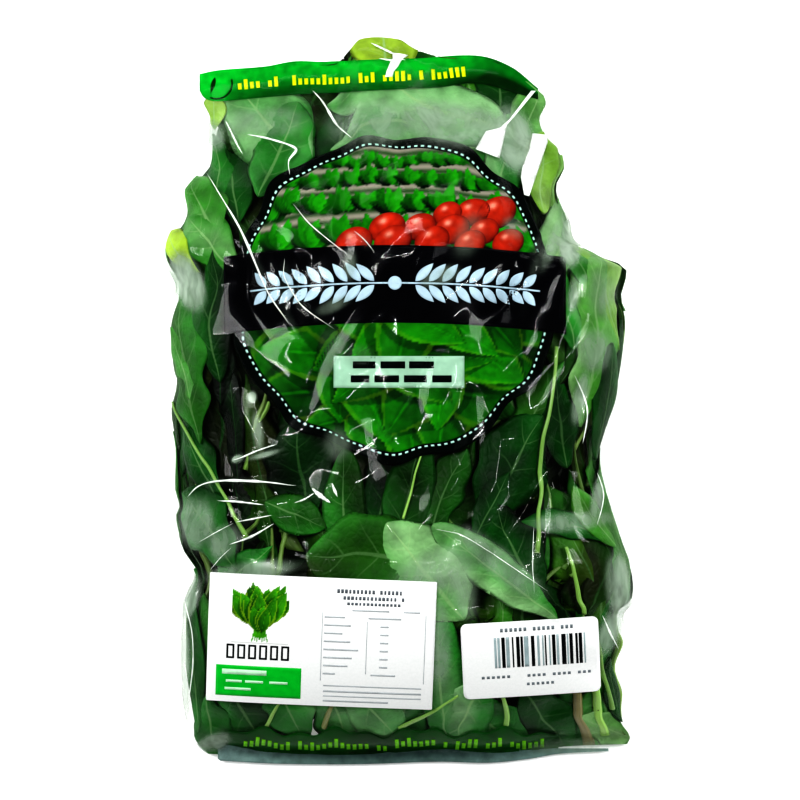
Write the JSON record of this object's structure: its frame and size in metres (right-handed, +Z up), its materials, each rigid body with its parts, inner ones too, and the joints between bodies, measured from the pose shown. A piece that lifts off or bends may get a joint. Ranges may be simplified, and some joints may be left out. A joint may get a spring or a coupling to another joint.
{
  "type": "bag of salad leaves",
  "caption": "Clear film bag packed with rocket leaves, lying on its back with its printed front up, with printed bands, a round printed panel and paper labels.",
  "frame": {"origin": "middle of the bag's outline seen from above, on the surface that it lies on", "axes": "+Y along the bag from its sealed foot to its folded head, +Z up out of the printed front, +X to the right seen from above with the head away"},
  "size_m": [0.2346, 0.3638, 0.0738],
  "materials": {
    "film_and_leaves": "clear glossy film over fresh green leaves",
    "label_paper": "coated white paper, satin"
  },
  "bodies": {
    "root": {"bag": "film_and_leaves", "product_label": "label_paper", "barcode_label": "label_paper"}
  },
  "joints": []
}
